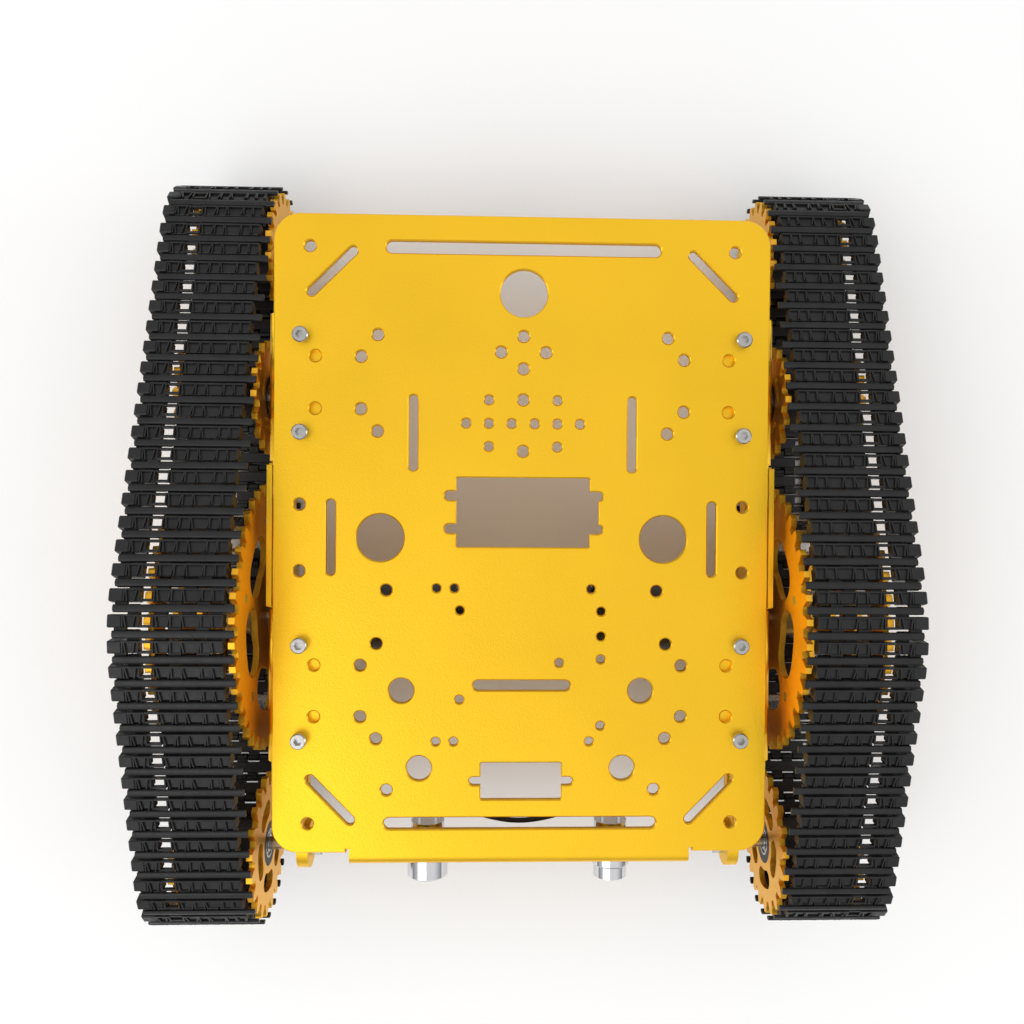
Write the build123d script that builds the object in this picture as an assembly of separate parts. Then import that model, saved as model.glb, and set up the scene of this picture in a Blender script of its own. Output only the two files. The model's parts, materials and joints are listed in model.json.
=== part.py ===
from build123d import *
import math
import os

# Tracked robot chassis: a flat drilled deck on two side frames, two gear motors, and a moulded
# track on each side that runs round a large drive wheel, two idlers and an upper roller.
# Millimetres. Origin: on the ground under the middle of the tracks; +Y forward, +X right, +Z up.

# Tracks
PITCH = 6.9                   # hinge to hinge
TRACK_IN, TRACK_OUT = 79.6, 113.9
PLATE_IN = 82.6               # the inner row of teeth runs beside the plates, under the hinge caps
CHANNEL_OUT = (101.8, 105.4)  # the outer row of teeth runs under this stretch
PLATE_HALF = 1.8              # half of a link's plate along the track
TREAD_TOP = 2.2               # outer face above the hinge line
BODY_BOTTOM, EDGE_BOTTOM = -2.0, -1.2
WINDOW_HALF = 1.1             # half of the window over the outer teeth, along the track
BRIDGE = (0.9, 2.0)           # what crosses over the teeth lies this far above the hinge line
KNUCKLE_R, KNUCKLE_GAP = 1.2, 0.3
CAP_HALF, CAP_BOTTOM = 1.1, 1.35
HINGE_END = 112.6
PIN_R, PIN_END = 0.5, 112.9

# Wheels: teeth, and the y of each axle
DRIVE_TEETH, IDLER_TEETH, ROLLER_TEETH = 38, 20, 16
DRIVE_Y, DRIVE_LIFT = -22.15, TREAD_TOP
FRONT_Y_GUESS, REAR_Y_GUESS = 96.2, -96.2
FRONT_LINKS, REAR_LINKS = 46, 31     # links from the drive wheel's top round each idler to its foot
FOOT_TOOTH = 20                      # drive tooth that stands at the foot of the wheel
ROLLER_Y = 47.0
TOOTH_RISE, TOOTH_DEPTH = 0.2, 3.4   # tip above and root below the hinge line
TOOTH_ROOT_W, TOOTH_TIP_W = 3.7, 1.8
DISC_T = 1.8
DISC_IN, DISC_OUT = 79.8, 102.8      # inner face of each row's disc
HUB_R, BEARING_R, BEARING_W = 7.0, 4.5, 4.0
AXLE_R, AXLE_PLAY = 2.0, 0.05

# Deck
DECK_W, DECK_T, DECK_TOP = 150.4, 2.0, 62.0
DECK_FRONT, DECK_REAR, DECK_CORNER = 101.0, -92.0, 8.0
PANEL_W, PANEL_FACE, PANEL_DEPTH, PANEL_BEND = 103.6, -96.0, 21.0, 2.9
M3_R, SMALL_R, TINY_R = 1.75, 1.4, 1.3
EDGE_BREAK = 0.35

# Side frames
WALL_IN, WALL_T, SEAM = 75.5, 1.6, 0.3
SHELF_IN, FLANGE_T = 58.5, 1.8
FRONT_FLANGE = (26.5, 71.2)
REAR_FLANGE = (-64.9, -18.6)
SCREW_X = 66.8
SCREW_YS = (64.2, 35.1, -28.9, -57.6)
DECK_NUT_T = 1.6

# Rear arms, motors, switch and jack
ARM_X, ARM_T, LUG_X, LUG_R = 68.0, 2.0, 66.4, 7.4
ARM_BOLTS = ((-47.0, 37.5), (-59.0, 45.5))
MOTOR_R, GEARBOX_L, CAN_L, ENCODER_L = 12.5, 21.0, 31.0, 6.5
PORT_X, PORT_Z = 28.9, 50.0
PORT_OUT = 7.6                # the switch and the jack stand this far out of the panel
BEZEL_R, BUTTON_PROUD = 6.3, 0.8
LEAD_R = 0.8

DECK_BOTTOM = DECK_TOP - DECK_T
FLANGE_BOTTOM = DECK_BOTTOM - FLANGE_T
WALL_OUT = WALL_IN + WALL_T


# ---------------------------------------------------------------- small helpers

def x_rod(radius, x0, x1, y, z):
    return Pos((x0 + x1) / 2, y, z) * Rot(0, 90, 0) * Cylinder(radius, x1 - x0)


def y_rod(radius, y0, y1, x, z):
    return Pos(x, (y0 + y1) / 2, z) * Rot(90, 0, 0) * Cylinder(radius, y1 - y0)


def z_rod(radius, z0, z1, x, y):
    return Pos(x, y, (z0 + z1) / 2) * Cylinder(radius, z1 - z0)


def block(x0, x1, y0, y1, z0, z1):
    return Pos((x0 + x1) / 2, (y0 + y1) / 2, (z0 + z1) / 2) * Box(x1 - x0, y1 - y0, z1 - z0)


def x_plate(sketch, x0, x1):
    return extrude(Plane.YZ.offset(x0) * sketch, amount=x1 - x0)


def x_hex(flats, x0, x1, y, z):
    return x_plate(Pos(y, z) * RegularPolygon(flats / 2, 6, major_radius=False), x0, x1)


def mirrored(shape):
    return mirror(shape, about=Plane.YZ)


def group(solids):
    return Compound(children=list(solids))


def save(name, shape):
    shape.label = name
    export_step(shape, f"parts/{name}.step")


def save_pair(name, shapes):
    save(name + "_right", group(shapes))
    save(name + "_left", group([mirrored(shape) for shape in shapes]))


def save_both(name, shapes):
    save(name, group([*shapes, *[mirrored(shape) for shape in shapes]]))


# ---------------------------------------------------------------- the track's path

def pitch_radius(teeth):
    return PITCH / (2 * math.sin(math.pi / teeth))


def on_circle(circle, angle):
    y, z, radius = circle
    return y + radius * math.cos(angle), z + radius * math.sin(angle)


def tangent_angle(first, second):
    dy, dz = second[0] - first[0], second[1] - first[1]
    return math.atan2(dz, dy) + math.acos((first[2] - second[2]) / math.hypot(dy, dz))


def loop_pieces(drive, idler, start, end):
    # start and end are angles on the drive wheel; the path leaves it, rounds the idler and returns
    away = tangent_angle(drive, idler)
    back = tangent_angle(idler, drive)
    away += 2 * math.pi * round((start - away) / (2 * math.pi))
    back += 2 * math.pi * round((end - back) / (2 * math.pi))
    return [("arc", drive, start, away),
            ("run", on_circle(drive, away), on_circle(idler, away)),
            ("arc", idler, away, back),
            ("run", on_circle(idler, back), on_circle(drive, back)),
            ("arc", drive, back, end)]


def piece_length(piece):
    if piece[0] == "arc":
        return piece[1][2] * (piece[2] - piece[3])
    return math.dist(piece[1], piece[2])


def path_point(pieces, distance):
    for piece in pieces:
        length = piece_length(piece)
        if distance <= length or piece is pieces[-1]:
            break
        distance -= length
    part = distance / length
    if piece[0] == "arc":
        return on_circle(piece[1], piece[2] + (piece[3] - piece[2]) * part)
    (y0, z0), (y1, z1) = piece[1], piece[2]
    return y0 + (y1 - y0) * part, z0 + (z1 - z0) * part


def walk(pieces, links):
    distances = [0.0]
    for _ in range(links):
        here = path_point(pieces, distances[-1])
        low, high = distances[-1] + PITCH * 0.9, distances[-1] + PITCH * 1.1
        for _ in range(40):
            middle = (low + high) / 2
            if math.dist(here, path_point(pieces, middle)) < PITCH:
                low = middle
            else:
                high = middle
        distances.append(low)
    return distances


def fit_idler(drive, radius, z, guess, start, end, links, outward):
    # move the idler along y until a whole number of links closes its side of the loop
    low, high = guess - PITCH * outward, guess + PITCH * outward
    for _ in range(40):
        middle = (low + high) / 2
        pieces = loop_pieces(drive, (middle, z, radius), start, end)
        spare = sum(map(piece_length, pieces)) - walk(pieces, links)[-1]
        if spare < 0:
            low = middle
        else:
            high = middle
    points = [path_point(pieces, distance) for distance in walk(pieces, links)]
    return (middle, z, radius), points


DRIVE = (DRIVE_Y, pitch_radius(DRIVE_TEETH) + DRIVE_LIFT, pitch_radius(DRIVE_TEETH))
IDLER_R = pitch_radius(IDLER_TEETH)
TOP = math.pi / 2
FOOT = TOP - FOOT_TOOTH * 2 * math.pi / DRIVE_TEETH
FRONT, FRONT_PINS = fit_idler(DRIVE, IDLER_R, IDLER_R + TREAD_TOP, FRONT_Y_GUESS,
                              TOP, FOOT, FRONT_LINKS, 1)
REAR, REAR_PINS = fit_idler(DRIVE, IDLER_R, DRIVE[1], REAR_Y_GUESS,
                            FOOT, TOP - 2 * math.pi, REAR_LINKS, -1)
PINS = FRONT_PINS + REAR_PINS[1:-1]


def roller_circle():
    radius = pitch_radius(ROLLER_TEETH)
    normal = tangent_angle(DRIVE, FRONT)
    y0, z0 = on_circle(DRIVE, normal)
    centre_y = ROLLER_Y
    contact_y = centre_y + radius * math.cos(normal)
    contact_z = z0 - (contact_y - y0) / math.tan(normal)
    return centre_y, contact_z - radius * math.sin(normal), radius


ROLLER = roller_circle()


def link_middles():
    return [((y0 + y1) / 2, (z0 + z1) / 2) for (y0, z0), (y1, z1) in zip(PINS, PINS[1:] + PINS[:1])]


def tooth_angle(circle):
    # angle of a tooth that points at the middle of the link nearest to the wheel
    nearest = min(link_middles(), key=lambda middle: abs(math.dist(middle, circle[:2]) - circle[2]))
    return math.atan2(nearest[1] - circle[1], nearest[0] - circle[0])


# ---------------------------------------------------------------- tracks

def link_knuckle(x0, x1, side):
    barrel = x_rod(KNUCKLE_R, x0, x1, side * PITCH / 2, 0)
    y0, y1 = sorted((side * (PLATE_HALF - 0.2), side * PITCH / 2))
    return barrel + block(x0, x1, y0, y1, -KNUCKLE_R * 0.7, KNUCKLE_R * 0.7)


def hinge_cap():
    # the smooth strip that covers the hinge from edge to edge, resting on this link's own knuckles
    y0, y1 = PITCH / 2 - CAP_HALF, PITCH / 2 + CAP_HALF
    cap = block(TRACK_IN, HINGE_END, y0, y1, CAP_BOTTOM, BRIDGE[1])
    cap = fillet(cap.edges().filter_by(Axis.X).group_by(Axis.Z)[-1], 0.4)
    cap += block(TRACK_IN, PLATE_IN, y0, y1, BRIDGE[0], CAP_BOTTOM)
    return cap + block(*CHANNEL_OUT, y0, y1, BRIDGE[0], CAP_BOTTOM)


def track_link():
    half = PLATE_HALF
    link = block(PLATE_IN, CHANNEL_OUT[0], -half, half, BODY_BOTTOM, TREAD_TOP)
    link += block(CHANNEL_OUT[1], TRACK_OUT, -half, half, EDGE_BOTTOM, TREAD_TOP)
    for y0, y1 in ((-half, -WINDOW_HALF), (WINDOW_HALF, half)):
        link += block(*CHANNEL_OUT, y0, y1, *BRIDGE)
    link += hinge_cap()
    fingers = 5
    finger = (CHANNEL_OUT[0] - PLATE_IN) / fingers
    split = (CHANNEL_OUT[1] + HINGE_END) / 2
    spans = [(PLATE_IN + number * finger, PLATE_IN + (number + 1) * finger) for number in range(fingers)]
    spans.append((CHANNEL_OUT[1], split))
    spans.append((split, HINGE_END))
    sides = (1, -1, 1, -1, 1, 1, -1)
    for (x0, x1), side in zip(spans, sides):
        link += link_knuckle(x0 + KNUCKLE_GAP / 2, x1 - KNUCKLE_GAP / 2, side)
        if side > 0:
            neck = (x0 + KNUCKLE_GAP / 2, x1 - KNUCKLE_GAP / 2)
            link += block(*neck, PITCH / 2 - CAP_HALF * 0.6, PITCH / 2 + CAP_HALF * 0.6, 0.6, CAP_BOTTOM)
    for side in (1, -1):
        link -= x_rod(PIN_R, CHANNEL_OUT[1], HINGE_END, side * PITCH / 2, 0)
    return link


def track(shape):
    links = []
    for here, there in zip(PINS, PINS[1:] + PINS[:1]):
        angle = math.degrees(math.atan2(there[1] - here[1], there[0] - here[0]))
        middle = Pos(0, (here[0] + there[0]) / 2, (here[1] + there[1]) / 2)
        links.append(middle * Rot(angle, 0, 0) * shape)
    return links


def track_pins():
    return [x_rod(PIN_R, CHANNEL_OUT[1] + 0.2, PIN_END, y, z) for y, z in PINS]


# ---------------------------------------------------------------- wheels

def toothed_disc(circle, teeth, slots, slot_mid, slot_width, slot_arc):
    y, z, radius = circle
    root, tip = radius - TOOTH_DEPTH, radius + TOOTH_RISE
    tooth = Polygon((root - 1, -TOOTH_ROOT_W / 2), (root + 1.2, -TOOTH_ROOT_W / 2), (tip, -TOOTH_TIP_W / 2),
                    (tip, TOOTH_TIP_W / 2), (root + 1.2, TOOTH_ROOT_W / 2), (root - 1, TOOTH_ROOT_W / 2),
                    align=None)
    face = Circle(root) + [Rot(0, 0, number * 360 / teeth) * tooth for number in range(teeth)]
    starts = [number * 360 / slots - slot_arc / 2 for number in range(slots)]
    face -= [SlotArc(CenterArc((0, 0), slot_mid, start, slot_arc), slot_width) for start in starts]
    return Pos(y, z) * Rot(0, 0, math.degrees(tooth_angle(circle))) * face


def small_wheel(circle, teeth, slots, slot_mid, slot_width, slot_arc):
    y, z, _ = circle
    face = toothed_disc(circle, teeth, slots, slot_mid, slot_width, slot_arc)
    seat = Pos(y, z) * Circle(HUB_R)
    discs = [x_plate(face - seat, x0, x0 + DISC_T) for x0 in (DISC_IN, DISC_OUT)]
    ends = (DISC_IN, DISC_OUT + DISC_T)
    hub = x_rod(HUB_R, *ends, y, z) - x_rod(BEARING_R - 1.2, *ends, y, z)
    bearings = []
    for x0, x1 in ((ends[0], ends[0] + BEARING_W), (ends[1] - BEARING_W, ends[1])):
        hub -= x_rod(BEARING_R, x0, x1, y, z)
        bearing = x_rod(BEARING_R, x0, x1, y, z) - x_rod(AXLE_R + AXLE_PLAY, x0, x1, y, z)
        for face_x, sign in ((x0, 1), (x1, -1)):
            a, b = sorted((face_x, face_x + sign * 0.4))
            bearing -= x_rod(3.9, a, b, y, z) - x_rod(2.8, a, b, y, z)
        bearings.append(bearing)
    return discs, hub, bearings


def small_axle(circle, inner, threaded_to):
    y, z, _ = circle
    head_x = DISC_OUT + DISC_T + 0.5
    axle = x_rod(AXLE_R, inner, head_x, y, z) + x_rod(3.6, head_x, head_x + 2.2, y, z)
    axle = chamfer(axle.edges().sort_by(Axis.X)[-1], 0.7)
    axle -= x_hex(2.5, head_x + 0.9, head_x + 2.2, y, z)
    nut = x_hex(7.0, threaded_to - 3.2, threaded_to, y, z) - x_rod(AXLE_R, threaded_to - 3.2, threaded_to, y, z)
    return axle, nut


STANDOFF_RADIUS, STANDOFFS = 31.0, 6


def standoff_places():
    y, z, _ = DRIVE
    turn = tooth_angle(DRIVE)
    for number in range(STANDOFFS):
        angle = turn + (number + 0.5) * 2 * math.pi / STANDOFFS
        yield y + STANDOFF_RADIUS * math.cos(angle), z + STANDOFF_RADIUS * math.sin(angle)


def drive_wheel():
    y, z, _ = DRIVE
    face = toothed_disc(DRIVE, DRIVE_TEETH, STANDOFFS, 23.5, 13.0, 20.0)
    for hole in standoff_places():
        face -= Pos(*hole) * Circle(1.5)
    inner = face - Pos(y, z) * Circle(6.0)
    outer = face - Pos(y, z) * Circle(4.0)
    inner_disc = x_plate(inner, DISC_IN, DISC_IN + DISC_T)
    outer_disc = x_plate(outer, DISC_OUT, DISC_OUT + DISC_T)
    hub = x_rod(6.0, DISC_IN, DISC_IN + DISC_T, y, z) + x_rod(11.0, DISC_IN + DISC_T, DISC_IN + DISC_T + 2, y, z)
    hub += x_rod(6.0, DISC_IN + DISC_T + 2, DISC_IN + 13, y, z)
    hub -= x_rod(AXLE_R, DISC_IN, DISC_IN + 13, y, z)
    shaft = x_rod(AXLE_R, WALL_IN - 4, DISC_IN + 12, y, z)
    return inner_disc, outer_disc, hub, shaft


def drive_fasteners():
    standoffs, screws = [], []
    gap = (DISC_IN + DISC_T, DISC_OUT)
    for y, z in standoff_places():
        standoff = x_hex(5.0, *gap, y, z) - x_rod(1.5, gap[1] - 6, gap[1], y, z)
        standoffs.append(standoff - x_rod(1.5, gap[0], gap[0] + 6, y, z))
        head_x = DISC_OUT + DISC_T
        screw = x_rod(1.5, gap[1] - 5, head_x, y, z) + x_rod(2.75, head_x, head_x + 1.7, y, z)
        screw = chamfer(screw.edges().sort_by(Axis.X)[-1], 0.6)
        screws.append(screw - x_hex(2.0, head_x + 0.7, head_x + 1.7, y, z))
        screws.append(x_rod(1.5, DISC_IN, gap[0] + 5, y, z))
    return standoffs, screws


# ---------------------------------------------------------------- deck

def slot_between(start, end, width):
    (x0, y0), (x1, y1) = start, end
    length = math.hypot(x1 - x0, y1 - y0)
    turn = math.degrees(math.atan2(y1 - y0, x1 - x0))
    return Pos((x0 + x1) / 2, (y0 + y1) / 2) * Rot(0, 0, turn) * SlotCenterToCenter(length, width)


def both_sides(places):
    return [(side * x, y) for x, y in places for side in (1, -1)]


M3_PAIRS = ((44.0, 64.8), (49.0, 58.2), (49.0, 42.4), (44.0, 35.7),
            (62.7, 58.2), (62.7, 42.4), (62.7, -35.1), (62.7, -50.7),
            (67.3, 13.5), (67.3, -6.6), (41.1, -12.3),
            (44.0, -28.5), (48.8, -35.1), (48.8, -50.7), (44.0, -57.4), (40.7, -73.0),
            (64.4, 91.2), (64.4, -83.1), (6.8, 60.0))
M3_CENTRE = ((0, 64.8), (0, 55.0), (0, 45.6), (0, 30.0))
SERVO_HORN_HOLES = ((10.4, 45.5), (17.3, 38.4), (10.4, 38.4), (3.5, 38.4), (10.4, 31.4))
BOARD_HOLES = ((-25.9, -11.7), (-20.5, -11.7), (-18.8, -18.4), (21.1, -11.8), (24.2, -18.6),
               (24.2, -26.2), (24.2, -33.2), (11.5, -34.3), (-18.8, -45.5), (24.2, -53.5),
               (20.8, -58.3), (-25.9, -58.3), (-20.5, -58.3))
SERVO = (0.2, 11.4, 40.5, 21.1)        # centre x and y, width and length of the servo cut-out
SERVO_EARS = 5.0                       # the ear slots stand this far either side of its middle line
MICRO = (0.1, -70.4, 24.6, 11.3)


def round_holes():
    holes = Sketch()
    for places, radius in ((both_sides(M3_PAIRS), M3_R), (M3_CENTRE, M3_R),
                           (both_sides(SERVO_HORN_HOLES), SMALL_R), (BOARD_HOLES, TINY_R),
                           (both_sides(((36.4, -42.8), (30.9, -66.4))), 3.8),
                           ([(0, 77.8), (43.0, 3.5), (-43.0, 3.5)], 7.2)):
        for x, y in places:
            holes += Pos(x, y) * Circle(radius)
    return holes


def slots():
    cut = Sketch()
    cut += slot_between((-39.8, 91.3), (39.8, 91.3), 3.8)
    cut += slot_between((-39.7, -83.2), (39.7, -83.2), 3.6)
    cut += slot_between((-13.1, -41.2), (13.3, -41.2), 3.2)
    for side in (1, -1):
        cut += slot_between((side * 63.9, 77.6), (side * 51.6, 89.9), 2.9)
        cut += slot_between((side * 63.7, -69.8), (side * 51.7, -82.1), 2.9)
        cut += slot_between((side * 33.2, 45.4), (side * 33.2, 25.2), 2.8)
        cut += slot_between((side * 57.9, 13.6), (side * 57.9, -6.5), 2.8)
    return cut


def servo_windows():
    x, y, width, length = SERVO
    cut = Pos(x, y) * RectangleRounded(width, length, 0.6)
    cut += Pos(x + width / 2, y) * RectangleRounded(5.6, 12.5, 0.5)
    for ear in (-SERVO_EARS, SERVO_EARS):
        cut += slot_between((x - width / 2 - 2.2, y + ear), (x + width / 2 + 2.6, y + ear), 2.9)
    x, y, width, length = MICRO
    cut += Pos(x, y) * RectangleRounded(width, length, 0.5)
    return cut + slot_between((x - width / 2 - 2.2, y), (x + width / 2 + 2.2, y), 2.6)


def deck():
    outline = Pos(0, (DECK_FRONT + DECK_REAR) / 2) * RectangleRounded(DECK_W, DECK_FRONT - DECK_REAR, DECK_CORNER)
    sheet = outline - round_holes() - slots() - servo_windows()
    sheet -= Pos(0, DECK_REAR) * Rectangle(PANEL_W + 2, 2)
    for x, y in both_sides([(SCREW_X, y) for y in SCREW_YS]):
        sheet -= Pos(x, y) * Circle(1.35)
    plate = extrude(Pos(0, 0, DECK_BOTTOM) * sheet, amount=DECK_T)
    top_edges = plate.faces().sort_by(Axis.Z)[-1].edges()
    plate = chamfer(top_edges, EDGE_BREAK)
    return plate + rear_panel()


def rear_panel():
    # the deck's rear edge is bent down through a quarter turn to carry the switch and the jack
    inner = PANEL_FACE + DECK_T
    bend_y, bend_z = PANEL_FACE + PANEL_BEND, DECK_TOP - PANEL_BEND
    bend = Pos(bend_y, bend_z) * Circle(PANEL_BEND) - Pos(bend_y, bend_z) * Circle(PANEL_BEND - DECK_T)
    bend &= Pos(bend_y - 5, bend_z + 5) * Rectangle(10, 10)
    bend += Pos((bend_y + DECK_REAR + 2) / 2, DECK_TOP - DECK_T / 2) * Rectangle(DECK_REAR + 2 - bend_y, DECK_T)
    bottom = DECK_TOP - PANEL_DEPTH
    bend += Pos((PANEL_FACE + inner) / 2, (bottom + bend_z) / 2) * Rectangle(DECK_T, bend_z - bottom)
    panel = x_plate(bend, -PANEL_W / 2, PANEL_W / 2)
    corners = panel.edges().filter_by(Axis.Y).group_by(Axis.Z)[0]
    panel = fillet(corners, 4.0)
    for side in (1, -1):
        panel -= y_rod(5.3, PANEL_FACE - 1, inner + 1, side * PORT_X, PORT_Z)
    return panel


# ---------------------------------------------------------------- side frames

def frame_outline():
    front_y, front_z = FRONT[0], FRONT[1]
    low = 27.0
    top = FLANGE_BOTTOM + 0.2
    shape = Polygon((REAR_FLANGE[0], top), (REAR_FLANGE[0], 35.0), (-45.0, low), (18.0, low),
                    (front_y - 4, front_z - 8.0), (front_y + 6, front_z + 5.3), (71.2, 50.0), (71.2, top),
                    align=None)
    shape += Pos(front_y, front_z) * Circle(8.0)
    shape = fillet(shape.vertices().filter_by(lambda v: v.Z < 0.1 and abs(v.X) < 47 and v.Y < 30), 6)
    return shape


def frame_openings():
    y, z, _ = DRIVE
    cut = Pos(y, z) * Circle(4.0)
    for side in (-8.5, 8.5):
        cut += Pos(y + side, z) * Circle(1.6)
    cut += Pos(ROLLER[0], ROLLER[1]) * Circle(AXLE_R)
    cut += Pos(FRONT[0], FRONT[1]) * SlotOverall(10.0, 2 * AXLE_R + 0.05)
    for bolt in ARM_BOLTS:
        cut += Pos(*bolt) * Circle(1.6)
    cut += Pos(8.0, 38.0) * SlotOverall(22.0, 9.0)
    cut += Pos(8.0, 52.0) * SlotOverall(22.0, 6.0)
    cut += Pos(66.0, 36.0) * Rot(0, 0, -28) * SlotOverall(22.0, 8.0)
    cut += Pos(38.0, 32.0) * SlotOverall(16.0, 4.0)
    cut += Pos(-50.5, 50.5) * SlotOverall(10.0, 4.0)
    return cut


def bent_flange(y0, y1):
    # a strip of the wall turned in under the deck through a quarter bend
    outer, inner = 2.6, 1.0
    centre_x, centre_z = WALL_OUT - outer, DECK_BOTTOM - outer
    corner = Pos(centre_x, centre_z) * (Circle(outer) - Circle(inner))
    corner &= Pos(centre_x + 5, centre_z + 5) * Rectangle(10, 10)
    corner += Pos((SHELF_IN + centre_x) / 2, DECK_BOTTOM - FLANGE_T / 2) * Rectangle(centre_x - SHELF_IN, FLANGE_T)
    drop = Pos((WALL_IN + WALL_OUT) / 2, (FLANGE_BOTTOM - 3 + centre_z) / 2)
    corner += drop * Rectangle(WALL_T, centre_z - FLANGE_BOTTOM + 3)
    profile = Plane.XZ.offset(-y1) * corner
    return extrude(profile, amount=y1 - y0)


def side_frame():
    wall = x_plate(frame_outline(), WALL_IN, WALL_OUT)
    for y0, y1 in (FRONT_FLANGE, REAR_FLANGE):
        wall -= block(WALL_IN - 1, WALL_OUT + 1, y0 - 0.6, y1 + 0.6, FLANGE_BOTTOM - 2.5, DECK_TOP)
        wall += bent_flange(y0, y1)
    middle = (REAR_FLANGE[1] + 1.2, FRONT_FLANGE[0] - 1.2)
    wall += block(WALL_IN, WALL_OUT, *middle, FLANGE_BOTTOM - 3, DECK_TOP - EDGE_BREAK)
    wall -= x_plate(frame_openings(), WALL_IN, WALL_OUT)
    for y in SCREW_YS:
        wall -= z_rod(1.35, FLANGE_BOTTOM, DECK_BOTTOM, SCREW_X, y)
    return wall


# ---------------------------------------------------------------- rear arms

def strap(first, first_r, second, second_r):
    # two discs and the flat sides that touch both
    discs = Pos(*first) * Circle(first_r), Pos(*second) * Circle(second_r)
    return make_hull([*discs[0].edges(), *discs[1].edges()])


def rear_arm():
    y, z, _ = REAR
    (y1, z1), (y2, z2) = ARM_BOLTS
    shape = strap((y, z), LUG_R, (y2, z2), 5.0) + strap((y2, z2), 5.0, (y1, z1), 5.0)
    arm = x_plate(shape, ARM_X, ARM_X + ARM_T) + x_rod(LUG_R, LUG_X, ARM_X, y, z)
    arm -= x_rod(AXLE_R, LUG_X, ARM_X + ARM_T, y, z)
    arm -= x_plate(Pos((y + y2) / 2, (z + z2) / 2) * SlotOverall(14.0, 4.0), ARM_X, ARM_X + ARM_T)
    for bolt_y, bolt_z in ARM_BOLTS:
        arm -= x_rod(1.6, ARM_X, ARM_X + ARM_T, bolt_y, bolt_z)
    return arm


def arm_fasteners():
    spacers, screws, nuts = [], [], []
    for y, z in ARM_BOLTS:
        spacers.append(x_rod(3.0, ARM_X + ARM_T, WALL_IN, y, z) - x_rod(1.6, ARM_X + ARM_T, WALL_IN, y, z))
        screws.append(x_rod(1.5, ARM_X - 3.4, WALL_OUT, y, z))
        nuts.append(x_hex(5.5, ARM_X - 2.4, ARM_X, y, z) - x_rod(1.5, ARM_X - 2.4, ARM_X, y, z))
    return spacers, screws, nuts


# ---------------------------------------------------------------- motors

def gear_motor():
    y, z, _ = DRIVE
    face = WALL_IN
    gearbox = x_rod(MOTOR_R, face - GEARBOX_L, face, y, z)
    gearbox = chamfer(gearbox.edges().sort_by(Axis.X)[-1], 0.4)
    for groove in (5.0, 16.0):
        x0 = face - groove
        gearbox -= x_rod(MOTOR_R, x0 - 0.5, x0, y, z) - x_rod(MOTOR_R - 0.3, x0 - 0.5, x0, y, z)
    gearbox -= x_rod(AXLE_R + AXLE_PLAY, face - 5, face, y, z)
    for side in (-8.5, 8.5):
        gearbox -= x_rod(1.5, face - 4, face, y + side, z)
    can_end = face - GEARBOX_L - CAN_L
    can = x_rod(MOTOR_R - 0.3, can_end, face - GEARBOX_L, y, z)
    can = fillet(can.edges().sort_by(Axis.X)[0], 1.2)
    end_x = can_end - ENCODER_L
    encoder = x_rod(MOTOR_R - 1.0, end_x + 3.6, end_x + 5.2, y, z)
    encoder += block(end_x, end_x + 3.6, y - 7.5, y + 7.5, z - 10.5, z - 5.5)
    encoder += x_rod(1.0, end_x + 5.2, can_end, y + 8, z) + x_rod(1.0, end_x + 5.2, can_end, y - 8, z)
    magnet = x_rod(4.5, end_x, end_x + 3.2, y, z)
    screws = []
    for side in (-8.5, 8.5):
        screws.append(x_rod(1.5, face - 4, WALL_OUT, y + side, z))
    return gearbox, can, encoder, magnet, screws


# ---------------------------------------------------------------- screws on the deck

def deck_fasteners():
    screws, nuts = [], []
    for x, y in both_sides([(SCREW_X, y) for y in SCREW_YS]):
        head = chamfer(z_rod(2.4, DECK_TOP, DECK_TOP + 3.0, x, y).edges().sort_by(Axis.Z)[-1], 0.3)
        screw = head + z_rod(1.3, FLANGE_BOTTOM - DECK_NUT_T, DECK_TOP, x, y)
        socket = Pos(x, y, DECK_TOP + 1.4) * extrude(RegularPolygon(1.1, 6, major_radius=False), amount=1.6)
        screws.append(screw - socket)
        nut_z = FLANGE_BOTTOM - DECK_NUT_T
        nut = Pos(x, y, nut_z) * extrude(RegularPolygon(2.5, 6, major_radius=False), amount=DECK_NUT_T)
        nuts.append(nut - z_rod(1.3, nut_z, FLANGE_BOTTOM, x, y))
    return screws, nuts


# ---------------------------------------------------------------- switch, jack and their lead

def power_switch():
    x, z = -PORT_X, PORT_Z
    inside = PANEL_FACE + DECK_T
    bezel_y = PANEL_FACE - PORT_OUT
    body = y_rod(BEZEL_R, bezel_y, PANEL_FACE, x, z)
    body = chamfer(body.edges().sort_by(Axis.Y)[0], 0.7)
    body += y_rod(5.2, PANEL_FACE, inside + 8.0, x, z)
    body -= y_rod(3.9, bezel_y, bezel_y + 6.0, x, z)
    for side in (-2.6, 2.6):
        body += block(x + side - 0.4, x + side + 0.4, inside + 8.0, inside + 12.5, z - 1.2, z + 1.2)
    nut = y_rod(6.8, inside, inside + 2.2, x, z) - y_rod(5.2, inside, inside + 2.2, x, z)
    cap = y_rod(3.6, bezel_y - BUTTON_PROUD, bezel_y + 4.0, x, z)
    cap = fillet(cap.edges().sort_by(Axis.Y)[0], 0.6)
    return body, nut, cap


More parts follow.
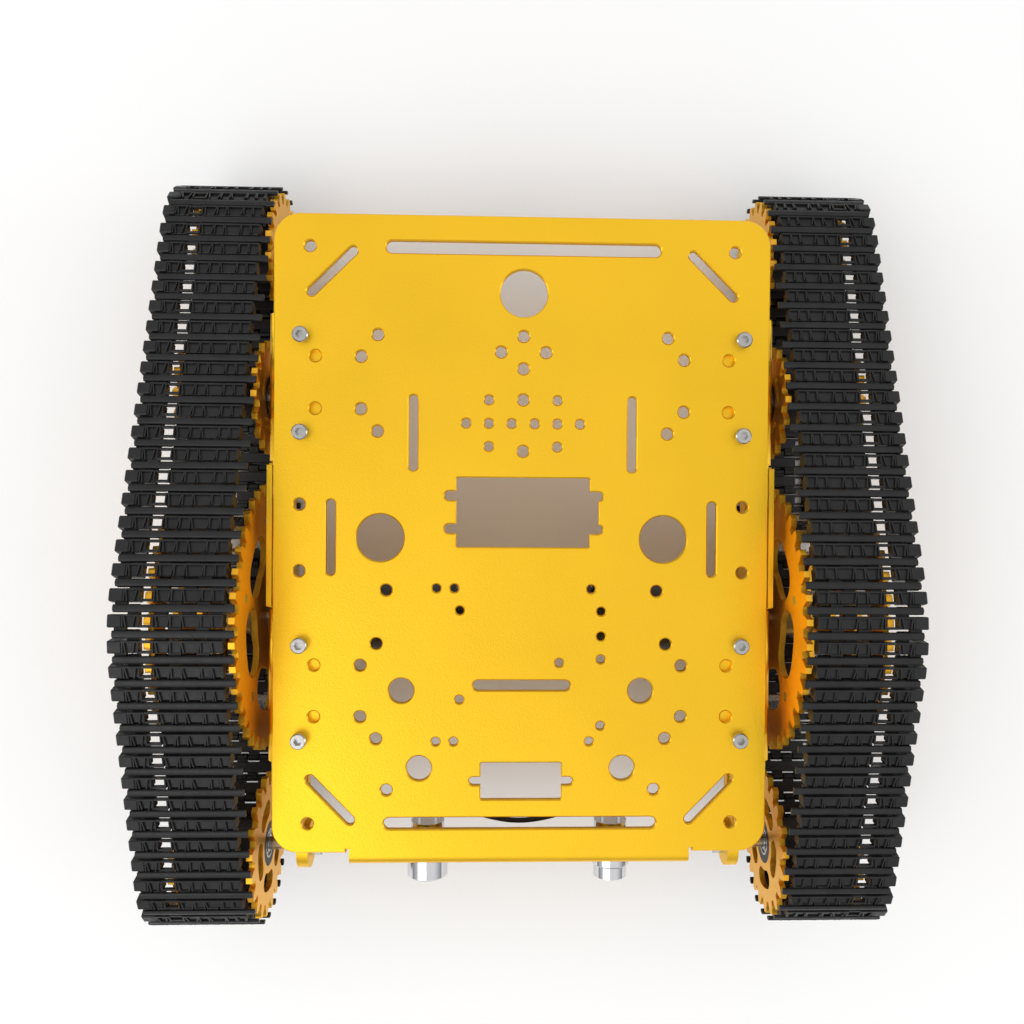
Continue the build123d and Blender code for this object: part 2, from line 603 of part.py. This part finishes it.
def charge_jack():
    x, z = PORT_X, PORT_Z
    inside = PANEL_FACE + DECK_T
    front = PANEL_FACE - PORT_OUT
    body = y_rod(5.2, front, inside + 8.0, x, z) - y_rod(3.0, front, inside + 4.0, x, z)
    body += y_rod(1.0, front + 1.0, inside + 4.0, x, z)
    body += y_rod(6.4, inside, inside + 1.5, x, z) - y_rod(5.2, inside, inside + 1.5, x, z)
    for side in (-2.6, 2.6):
        body += block(x + side - 0.4, x + side + 0.4, inside + 8.0, inside + 12.5, z - 1.2, z + 1.2)
    nut = y_rod(5.9, PANEL_FACE - 4.0, PANEL_FACE, x, z) - y_rod(5.2, PANEL_FACE - 4.0, PANEL_FACE, x, z)
    nut = chamfer(nut.edges().filter_by(GeomType.CIRCLE).group_by(Axis.Y)[0].sort_by(SortBy.LENGTH)[-1], 0.5)
    return body, nut


LEAD_ROUTE = ((25.9, -82.7, 50.0), (17.0, -82.7, 50.0), (8.5, -84.8, 52.2), (-1.0, -85.6, 53.2),
              (-10.0, -84.2, 52.6), (-17.0, -82.7, 50.0), (-25.9, -82.7, 50.0))


def power_lead():
    corners = [Vector(*point) for point in LEAD_ROUTE]
    radii = []
    for before, corner, after in zip(corners, corners[1:], corners[2:]):
        turn = (corner - before).get_angle(after - corner)
        shorter = min((corner - before).length, (after - corner).length)
        radii.append(0.45 * shorter / math.tan(math.radians(turn / 2)))
    print("lead radii", [round(radius, 1) for radius in radii])
    path = FilletPolyline(*corners, radius=radii)
    section = Plane(origin=path @ 0, z_dir=path % 0) * Circle(LEAD_R)
    lead = sweep(section, path=path)
    print("lead length", round(path.length, 1), "volume ratio",
          round(lead.volume / (math.pi * LEAD_R ** 2 * path.length), 4))
    return lead


# ---------------------------------------------------------------- the whole model

def save_small_wheel(name, circle, teeth, slots, inner, threaded_to):
    discs, hub, bearings = small_wheel(circle, teeth, *slots)
    save_pair(name + "_discs", discs)
    save_pair(name + "_hub", [hub])
    save_pair(name + "_bearings", bearings)
    axle, nut = small_axle(circle, inner, threaded_to)
    save_both(name + "_axles", [axle])
    return nut


def main():
    os.makedirs("parts", exist_ok=True)
    save("top_deck", deck())
    save_pair("side_frame", [side_frame()])
    save_pair("rear_arm", [rear_arm()])
    spacers, screws, nuts = arm_fasteners()
    save_both("arm_spacers", spacers)
    save_both("arm_screws", screws + nuts)
    link = track_link()
    save("track_links_right", group(track(link)))
    save("track_links_left", group(track(mirrored(link))))
    save_pair("track_pins", track_pins())

    axle_nuts = [
        save_small_wheel("front_idler", FRONT, IDLER_TEETH, (5, 12.0, 5.6, 30.0), WALL_IN - 4, WALL_IN),
        save_small_wheel("rear_idler", REAR, IDLER_TEETH, (5, 12.0, 5.6, 30.0), LUG_X - 4, LUG_X),
        save_small_wheel("top_roller", ROLLER, ROLLER_TEETH, (4, 10.2, 3.0, 36.0), WALL_IN - 4, WALL_IN)]
    save_both("axle_nuts", axle_nuts)

    inner_disc, outer_disc, hub, shaft = drive_wheel()
    standoffs, wheel_screws = drive_fasteners()
    save_pair("drive_disc_inner", [inner_disc])
    save_pair("drive_disc_outer", [outer_disc])
    save_pair("drive_hub", [hub])
    save_pair("motor_shaft", [shaft])
    save_pair("drive_standoffs", standoffs)
    save_pair("drive_screws", wheel_screws)

    gearbox, can, encoder, magnet, motor_screws = gear_motor()
    save_pair("gearbox", [gearbox])
    save_pair("motor_can", [can])
    save_pair("encoder", [encoder, magnet])
    save_both("motor_screws", motor_screws)

    screws, nuts = deck_fasteners()
    save("deck_screws", group(screws))
    save("deck_nuts", group(nuts))
    switch, switch_nut, cap = power_switch()
    save("power_switch", switch)
    save("switch_nut", switch_nut)
    save("switch_button", cap)
    jack, jack_nut = charge_jack()
    save("charge_jack", jack)
    save("jack_nut", jack_nut)
    save("power_lead", power_lead())
    for name, circle in (("drive", DRIVE), ("front", FRONT), ("rear", REAR), ("roller", ROLLER)):
        print(name, [round(value, 4) for value in circle], "tooth", round(math.degrees(tooth_angle(circle)), 3))
    print("links on each side", len(PINS))


main()
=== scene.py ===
import json
import math
import bmesh
import bpy
from mathutils import Euler, Matrix, Vector


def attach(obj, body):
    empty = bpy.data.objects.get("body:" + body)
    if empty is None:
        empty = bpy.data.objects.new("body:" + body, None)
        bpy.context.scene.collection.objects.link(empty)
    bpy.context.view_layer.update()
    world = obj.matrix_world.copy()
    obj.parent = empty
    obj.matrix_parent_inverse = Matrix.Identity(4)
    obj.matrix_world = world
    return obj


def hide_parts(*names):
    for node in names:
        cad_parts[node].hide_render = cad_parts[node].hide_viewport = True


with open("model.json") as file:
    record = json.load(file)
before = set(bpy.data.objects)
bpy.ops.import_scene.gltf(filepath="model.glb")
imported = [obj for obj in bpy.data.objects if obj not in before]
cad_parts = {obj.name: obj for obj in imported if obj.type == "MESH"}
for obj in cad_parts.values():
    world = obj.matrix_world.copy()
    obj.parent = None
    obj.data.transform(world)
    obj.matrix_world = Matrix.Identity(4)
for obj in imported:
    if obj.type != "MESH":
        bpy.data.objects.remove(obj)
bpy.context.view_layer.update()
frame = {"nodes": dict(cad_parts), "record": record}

MM = 0.001

# The same driving dimensions as the CAD, in millimetres
PITCH = 6.9
TRACK_IN, TRACK_OUT = 79.6, 113.9
PLATE_IN = 82.6
CHANNEL = (101.8, 105.4)
PLATE_HALF, TREAD_TOP = 1.8, 2.2
BODY_BOTTOM, EDGE_BOTTOM = -2.0, -1.2
PANEL_FLOOR = 1.45            # floor of the recessed panels in a link's plate
WINDOW_HALF = 1.1
BRIDGE = (0.9, 2.0)
KNUCKLE_R, KNUCKLE_GAP = 1.2, 0.3
CAP_HALF, CAP_BOTTOM = 1.1, 1.35
HINGE_END = 112.6
EDGE_WALL = 110.0             # inner face of the raised wall at a link's outer end
DRIVE_TEETH, IDLER_TEETH = 38, 20
DRIVE_Y = -22.15
FRONT_GUESS, REAR_GUESS = 96.2, -96.2
FRONT_LINKS, REAR_LINKS, FOOT_TOOTH = 46, 31, 20
LEAD_ROUTE = ((25.9, -82.7, 50.0), (17.0, -82.7, 50.0), (8.5, -84.8, 52.2), (-1.0, -85.6, 53.2),
              (-10.0, -84.2, 52.6), (-17.0, -82.7, 50.0), (-25.9, -82.7, 50.0))
LEAD_R, LEAD_LENGTH = 0.8, 52.8


# ---------------------------------------------------------------- materials

def new_material(name, colour, metallic, roughness, specular=0.5):
    material = bpy.data.materials.new(name)
    material.use_nodes = True
    shader = material.node_tree.nodes["Principled BSDF"]
    shader.inputs["Base Color"].default_value = (*colour, 1)
    shader.inputs["Metallic"].default_value = metallic
    shader.inputs["Roughness"].default_value = roughness
    shader.inputs["Specular IOR Level"].default_value = specular
    return material, shader


def noise(tree, scale, detail=2.0, stretch=None):
    coords = tree.nodes.new("ShaderNodeTexCoord")
    node = tree.nodes.new("ShaderNodeTexNoise")
    node.inputs["Scale"].default_value = scale
    node.inputs["Detail"].default_value = detail
    source = coords.outputs["Object"]
    if stretch:
        mapping = tree.nodes.new("ShaderNodeMapping")
        mapping.inputs["Scale"].default_value = stretch
        tree.links.new(source, mapping.inputs["Vector"])
        source = mapping.outputs["Vector"]
    tree.links.new(source, node.inputs["Vector"])
    return node.outputs["Fac"]


def ramp(tree, source, stops):
    node = tree.nodes.new("ShaderNodeValToRGB")
    elements = node.color_ramp.elements
    while len(elements) < len(stops):
        elements.new(0.5)
    for element, (place, colour) in zip(elements, stops):
        element.position = place
        element.color = (*colour, 1)
    tree.links.new(source, node.inputs["Fac"])
    return node.outputs["Color"]


def vary(colour, amount):
    return tuple(min(1.0, channel * amount) for channel in colour)


def finish_surface(material, shader, colour, patches, tint, roughness, spread, grain, depth, stretch=None):
    # slow colour patches, uneven gloss and a fine grain
    tree = material.node_tree
    stops = ((0.3, vary(colour, 1 - tint)), (0.7, vary(colour, 1 + tint)))
    tree.links.new(ramp(tree, noise(tree, patches, 3.0), stops), shader.inputs["Base Color"])
    gloss = tree.nodes.new("ShaderNodeMapRange")
    gloss.inputs["From Min"].default_value = 0.3
    gloss.inputs["From Max"].default_value = 0.7
    gloss.inputs["To Min"].default_value = roughness - spread
    gloss.inputs["To Max"].default_value = roughness + spread
    tree.links.new(noise(tree, patches * 4, 4.0, stretch), gloss.inputs["Value"])
    tree.links.new(gloss.outputs["Result"], shader.inputs["Roughness"])
    bump = tree.nodes.new("ShaderNodeBump")
    bump.inputs["Strength"].default_value = depth
    bump.inputs["Distance"].default_value = 0.0002
    tree.links.new(noise(tree, grain, 3.0, stretch), bump.inputs["Height"])
    tree.links.new(bump.outputs["Normal"], shader.inputs["Normal"])
    return material


def plain(name, colour, metallic, roughness, patches, tint, spread, grain, depth, stretch=None, specular=0.5):
    material, shader = new_material(name, colour, metallic, roughness, specular)
    return finish_surface(material, shader, colour, patches, tint, roughness, spread, grain, depth, stretch)


def make_materials():
    return {
        "gold_anodised": plain("gold_finish", (0.92, 0.55, 0.028), 1.0, 0.40, 14, 0.05, 0.03, 1900, 0.35),
        # the same gold made darker and more orange: painted shade for the wheel discs below the deck
        "gold_painted_shade": plain("gold_painted_shade_finish", (0.88, 0.46, 0.035), 1.0, 0.40, 14, 0.05, 0.03, 1900, 0.35),
        "track_plastic": plain("track_finish", (0.012, 0.012, 0.013), 0.0, 0.44, 180, 0.3, 0.09, 2600, 0.18,
                               specular=0.34),
        "brass": plain("brass_finish", (0.72, 0.50, 0.20), 1.0, 0.3, 90, 0.08, 0.06, 900, 0.2, (1, 0.1, 0.1)),
        "bright_steel": plain("steel_finish", (0.46, 0.45, 0.43), 1.0, 0.27, 120, 0.1, 0.08, 1500, 0.15),
        "black_plastic": plain("plastic_finish", (0.02, 0.02, 0.022), 0.0, 0.5, 150, 0.2, 0.06, 2200, 0.2,
                               specular=0.4),
        "gearbox_steel": plain("gearbox_finish", (0.50, 0.49, 0.47), 1.0, 0.36, 100, 0.1, 0.08, 700, 0.25,
                               (1, 8, 8)),
        "motor_black": plain("motor_finish", (0.045, 0.045, 0.05), 0.5, 0.38, 80, 0.15, 0.05, 1800, 0.15),
        "chrome": plain("chrome_finish", (0.66, 0.66, 0.68), 1.0, 0.1, 90, 0.04, 0.04, 900, 0.05),
        "lead_rubber": plain("rubber_finish", (0.012, 0.012, 0.013), 0.0, 0.55, 200, 0.25, 0.08, 2500, 0.15,
                             specular=0.35)}


def paint(piece, material):
    if not piece.data.materials:
        piece.data.materials.append(material)
    for index in range(len(piece.data.materials)):
        piece.data.materials[index] = material


# ---------------------------------------------------------------- the track's path, as in the CAD

def pitch_radius(teeth):
    return PITCH / (2 * math.sin(math.pi / teeth))


def on_circle(circle, angle):
    y, z, radius = circle
    return y + radius * math.cos(angle), z + radius * math.sin(angle)


def tangent_angle(first, second):
    dy, dz = second[0] - first[0], second[1] - first[1]
    return math.atan2(dz, dy) + math.acos((first[2] - second[2]) / math.hypot(dy, dz))


def loop_pieces(drive, idler, start, end):
    away = tangent_angle(drive, idler)
    back = tangent_angle(idler, drive)
    away += 2 * math.pi * round((start - away) / (2 * math.pi))
    back += 2 * math.pi * round((end - back) / (2 * math.pi))
    return [("arc", drive, start, away),
            ("run", on_circle(drive, away), on_circle(idler, away)),
            ("arc", idler, away, back),
            ("run", on_circle(idler, back), on_circle(drive, back)),
            ("arc", drive, back, end)]


def piece_length(piece):
    if piece[0] == "arc":
        return piece[1][2] * (piece[2] - piece[3])
    return math.dist(piece[1], piece[2])


def path_point(pieces, distance):
    for piece in pieces:
        length = piece_length(piece)
        if distance <= length or piece is pieces[-1]:
            break
        distance -= length
    part = distance / length
    if piece[0] == "arc":
        return on_circle(piece[1], piece[2] + (piece[3] - piece[2]) * part)
    (y0, z0), (y1, z1) = piece[1], piece[2]
    return y0 + (y1 - y0) * part, z0 + (z1 - z0) * part


def walk(pieces, links):
    distances = [0.0]
    for _ in range(links):
        here = path_point(pieces, distances[-1])
        low, high = distances[-1] + PITCH * 0.9, distances[-1] + PITCH * 1.1
        for _ in range(40):
            middle = (low + high) / 2
            if math.dist(here, path_point(pieces, middle)) < PITCH:
                low = middle
            else:
                high = middle
        distances.append(low)
    return distances


def fit_idler(drive, radius, z, guess, start, end, links, outward):
    low, high = guess - PITCH * outward, guess + PITCH * outward
    for _ in range(40):
        middle = (low + high) / 2
        pieces = loop_pieces(drive, (middle, z, radius), start, end)
        spare = sum(map(piece_length, pieces)) - walk(pieces, links)[-1]
        if spare < 0:
            low = middle
        else:
            high = middle
    return [path_point(pieces, distance) for distance in walk(pieces, links)]


def hinge_points():
    drive = (DRIVE_Y, pitch_radius(DRIVE_TEETH) + TREAD_TOP, pitch_radius(DRIVE_TEETH))
    radius = pitch_radius(IDLER_TEETH)
    top = math.pi / 2
    foot = top - FOOT_TOOTH * 2 * math.pi / DRIVE_TEETH
    front = fit_idler(drive, radius, radius + TREAD_TOP, FRONT_GUESS, top, foot, FRONT_LINKS, 1)
    rear = fit_idler(drive, radius, drive[1], REAR_GUESS, foot, top - 2 * math.pi, REAR_LINKS, -1)
    return front + rear[1:-1]


# ---------------------------------------------------------------- track links

def prism(bm, profile, x0, x1):
    # a closed Y-Z profile run along X
    ends = [[bm.verts.new((x, y, z)) for y, z in profile] for x in (x0, x1)]
    faces = [bm.faces.new(ends[0][::-1]), bm.faces.new(ends[1])]
    count = len(profile)
    for number in range(count):
        other = (number + 1) % count
        faces.append(bm.faces.new((ends[0][number], ends[0][other], ends[1][other], ends[1][number])))
    return faces


def soften(bm, faces, width):
    edges = {edge for face in faces for edge in face.edges}
    bmesh.ops.bevel(bm, geom=list(edges), offset=width, segments=1, affect="EDGES", profile=0.5)


def wedge(bm, rear, front, y0, y1, z0, z1, width):
    # a block whose sides slant: its X span is rear at y0 and front at y1
    corners = [(rear[0], y0), (rear[1], y0), (front[1], y1), (front[0], y1)]
    low = [bm.verts.new((x, y, z0)) for x, y in corners]
    high = [bm.verts.new((x, y, z1)) for x, y in corners]
    faces = [bm.faces.new(low[::-1]), bm.faces.new(high)]
    for number in range(4):
        other = (number + 1) % 4
        faces.append(bm.faces.new((low[number], low[other], high[other], high[number])))
    soften(bm, faces, width)


def block(bm, x0, x1, y0, y1, z0, z1, width=0.15):
    wedge(bm, (x0, x1), (x0, x1), y0, y1, z0, z1, width)


def barrel(bm, x0, x1, y):
    steps = 14
    turns = [2 * math.pi * n / steps for n in range(steps)]
    profile = [(y + KNUCKLE_R * math.cos(turn), KNUCKLE_R * math.sin(turn)) for turn in turns]
    faces = prism(bm, profile, x0, x1)
    rims = {edge for face in faces[:2] for edge in face.edges}
    bmesh.ops.bevel(bm, geom=list(rims), offset=0.12, segments=1, affect="EDGES", profile=0.5)


def cap_profile(y):
    half, top = CAP_HALF, BRIDGE[1]
    return [(y - half, CAP_BOTTOM), (y + half, CAP_BOTTOM), (y + half, top - 0.42),
            (y + half * 0.86, top - 0.2), (y + half * 0.6, top - 0.06), (y + half * 0.25, top),
            (y - half * 0.25, top), (y - half * 0.6, top - 0.06), (y - half * 0.86, top - 0.2),
            (y - half, top - 0.42)]


# rear and front X spans of the strips between the panels, which narrow toward the rear;
# a thin rib runs along each side of a strip
STRIPS = (((82.6, 83.4), (82.6, 83.1)), ((85.1, 86.2), (85.5, 86.1)), ((88.3, 89.5), (88.3, 88.9)),
          ((92.9, 94.3), (93.6, 94.3)), ((96.6, 98.0), (96.6, 97.3)), ((100.1, 101.8), (100.7, 101.8)),
          ((105.4, 107.2), (105.4, 106.6)), ((108.6, 110.0), (109.2, 110.0)))
RIB_T = 0.45


def link_mesh():
    bm = bmesh.new()
    half = PLATE_HALF
    block(bm, PLATE_IN, CHANNEL[0], -half, half, BODY_BOTTOM, PANEL_FLOOR, 0.25)
    block(bm, CHANNEL[1], TRACK_OUT, -half, half, EDGE_BOTTOM, PANEL_FLOOR, 0.25)
    block(bm, EDGE_WALL, TRACK_OUT, -half, half, EDGE_BOTTOM + 0.1, TREAD_TOP, 0.3)
    for rear, front in STRIPS:
        for edge, shift in ((0, RIB_T), (1, -RIB_T)):
            ends = [sorted((span[edge], span[edge] + shift)) for span in (rear, front)]
            wedge(bm, *ends, -half + 0.1, half - 0.3, PANEL_FLOOR - 0.2, TREAD_TOP, 0.1)
    for x0, x1 in ((PLATE_IN, CHANNEL[0]), (CHANNEL[1], EDGE_WALL + 0.3)):
        block(bm, x0, x1, half - 0.55, half, PANEL_FLOOR - 0.3, TREAD_TOP, 0.12)
    for y0, y1 in ((-half, -WINDOW_HALF), (WINDOW_HALF, half)):
        block(bm, CHANNEL[0] - 0.4, CHANNEL[1] + 0.4, y0, y1, *BRIDGE, 0.12)
    hinge = PITCH / 2
    soften(bm, prism(bm, cap_profile(hinge), TRACK_IN, HINGE_END)[:2], 0.15)
    block(bm, TRACK_IN, PLATE_IN, hinge - CAP_HALF, hinge + CAP_HALF, BRIDGE[0], CAP_BOTTOM + 0.2)
    block(bm, *CHANNEL, hinge - CAP_HALF, hinge + CAP_HALF, BRIDGE[0], CAP_BOTTOM + 0.2)
    finger = (CHANNEL[0] - PLATE_IN) / 5
    split = (CHANNEL[1] + HINGE_END) / 2
    spans = [(PLATE_IN + number * finger, PLATE_IN + (number + 1) * finger) for number in range(5)]
    spans += [(CHANNEL[1], split), (split, HINGE_END)]
    for (x0, x1), side in zip(spans, (1, -1, 1, -1, 1, 1, -1)):
        x0, x1 = x0 + KNUCKLE_GAP / 2, x1 - KNUCKLE_GAP / 2
        barrel(bm, x0, x1, side * hinge)
        y0, y1 = sorted((side * (half - 0.2), side * hinge))
        block(bm, x0, x1, y0, y1, -KNUCKLE_R * 0.7, KNUCKLE_R * 0.7, 0.1)
        if side > 0:
            block(bm, x0, x1, hinge - CAP_HALF * 0.6, hinge + CAP_HALF * 0.6, 0.6, CAP_BOTTOM + 0.2, 0.1)
    bmesh.ops.recalc_face_normals(bm, faces=bm.faces)
    mesh = bpy.data.meshes.new("link")
    bm.to_mesh(mesh)
    bm.free()
    return mesh


def make_track(side_name, side, material):
    link = link_mesh()
    bm = bmesh.new()
    pins = hinge_points()
    for (y0, z0), (y1, z1) in zip(pins, pins[1:] + pins[:1]):
        turn = Euler((math.atan2(z1 - z0, y1 - y0), 0, 0)).to_matrix().to_4x4()
        place = Matrix.Translation(Vector((0, (y0 + y1) / 2, (z0 + z1) / 2))) @ turn
        copy = link.copy()
        copy.transform(Matrix.Diagonal((side * MM, MM, MM, 1)) @ place)
        if side < 0:
            copy.flip_normals()
        bm.from_mesh(copy)
        bpy.data.meshes.remove(copy)
    mesh = bpy.data.meshes.new("links_" + side_name)
    bm.to_mesh(mesh)
    bm.free()
    track = bpy.data.objects.new("links_" + side_name, mesh)
    bpy.context.scene.collection.objects.link(track)
    paint(track, material)
    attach(track, "chassis")
    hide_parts("track_links_" + side_name)


# ---------------------------------------------------------------- the lead

def make_lead(material):
    curve = bpy.data.curves.new("lead", "CURVE")
    curve.dimensions = "3D"
    spline = curve.splines.new("NURBS")
    spline.points.add(len(LEAD_ROUTE) - 1)
    for point, place in zip(spline.points, LEAD_ROUTE):
        point.co = (*[value * MM for value in place], 1)
    spline.order_u = 3
    spline.use_endpoint_u = True
    curve.bevel_depth = LEAD_R * MM
    curve.bevel_resolution = 5
    lead = bpy.data.objects.new("lead", curve)
    bpy.context.scene.collection.objects.link(lead)
    lead.data.materials.append(material)
    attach(lead, "chassis")
    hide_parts("power_lead")


# ---------------------------------------------------------------- floor, light and camera

WORLD_GREYS = ((0.0, 0.28), (0.3, 0.55), (0.7, 0.95), (1.0, 0.92))
WORLD_STRENGTH = 1.0
KEY_PLACE, KEY_SIZE, KEY_POWER = (-0.7, -0.7, 1.3), 1.0, 5
SIDE_X, SIDE_HEIGHT, SIDE_SIZE, SIDE_POWER = 1.1, 0.35, 0.5, 2.2
FLOOR_HALF = 3.0
LENS, SENSOR_WIDTH = 33.266, 36
SHIFT_X, SHIFT_Y = -0.0191, -0.0046
CAMERA_PLACE = (-0.00715, 0.01609, 0.34905)
CAMERA_TURN = (-0.622, -1.966, 0.442)      # degrees about X, Y and Z

def make_floor():
    mesh = bpy.data.meshes.new("floor")
    corners = [(x * FLOOR_HALF, y * FLOOR_HALF, 0) for x, y in ((-1, -1), (1, -1), (1, 1), (-1, 1))]
    mesh.from_pydata(corners, [], [(0, 1, 2, 3)])
    floor = bpy.data.objects.new("floor", mesh)
    bpy.context.scene.collection.objects.link(floor)
    material, _ = new_material("floor_white", (0.97, 0.97, 0.97), 0.0, 0.8, 0.2)
    floor.data.materials.append(material)


def area_light(name, place, size, power, target=(0, 0, 0.05)):
    data = bpy.data.lights.new(name, "AREA")
    data.size = size
    data.energy = power
    light = bpy.data.objects.new(name, data)
    light.location = place
    light.rotation_euler = (Vector(target) - Vector(place)).to_track_quat("-Z", "Y").to_euler()
    bpy.context.scene.collection.objects.link(light)


def make_light():
    # a soft overhead studio whose surroundings fall darker toward the horizon
    world = bpy.data.worlds.new("studio")
    world.use_nodes = True
    tree = world.node_tree
    coords = tree.nodes.new("ShaderNodeTexCoord")
    height = tree.nodes.new("ShaderNodeSeparateXYZ")
    tree.links.new(coords.outputs["Generated"], height.inputs["Vector"])
    stops = [(place, (grey, grey, grey)) for place, grey in WORLD_GREYS]
    background = tree.nodes["Background"]
    tree.links.new(ramp(tree, height.outputs["Z"], stops), background.inputs["Color"])
    background.inputs["Strength"].default_value = WORLD_STRENGTH
    bpy.context.scene.world = world
    area_light("key", KEY_PLACE, KEY_SIZE, KEY_POWER)
    for side in (-1, 1):
        area_light("side_" + str(side + 1), (side * SIDE_X, 0, SIDE_HEIGHT), SIDE_SIZE, SIDE_POWER)


def make_camera():
    data = bpy.data.cameras.new("camera")
    data.sensor_width = SENSOR_WIDTH
    data.lens = LENS
    data.shift_x = SHIFT_X
    data.shift_y = SHIFT_Y
    camera = bpy.data.objects.new("camera", data)
    camera.location = CAMERA_PLACE
    camera.rotation_euler = [math.radians(angle) for angle in CAMERA_TURN]
    bpy.context.scene.collection.objects.link(camera)
    bpy.context.scene.camera = camera


def main():
    materials = make_materials()
    wanted = {part["node"]: part["material_slot"] for part in frame["record"]["subparts"]}
    for name, piece in frame["nodes"].items():
        # the wheel discs get a darker, more orange copy of the deck's gold: painted shade for the light they
        # lose below the deck
        paint(piece, materials["gold_painted_shade" if "_disc" in name else wanted[name]])
    make_track("right", 1, materials["track_plastic"])
    make_track("left", -1, materials["track_plastic"])
    make_lead(materials["lead_rubber"])
    make_floor()
    make_light()
    make_camera()
    bpy.context.scene.view_settings.view_transform = "Standard"


main()
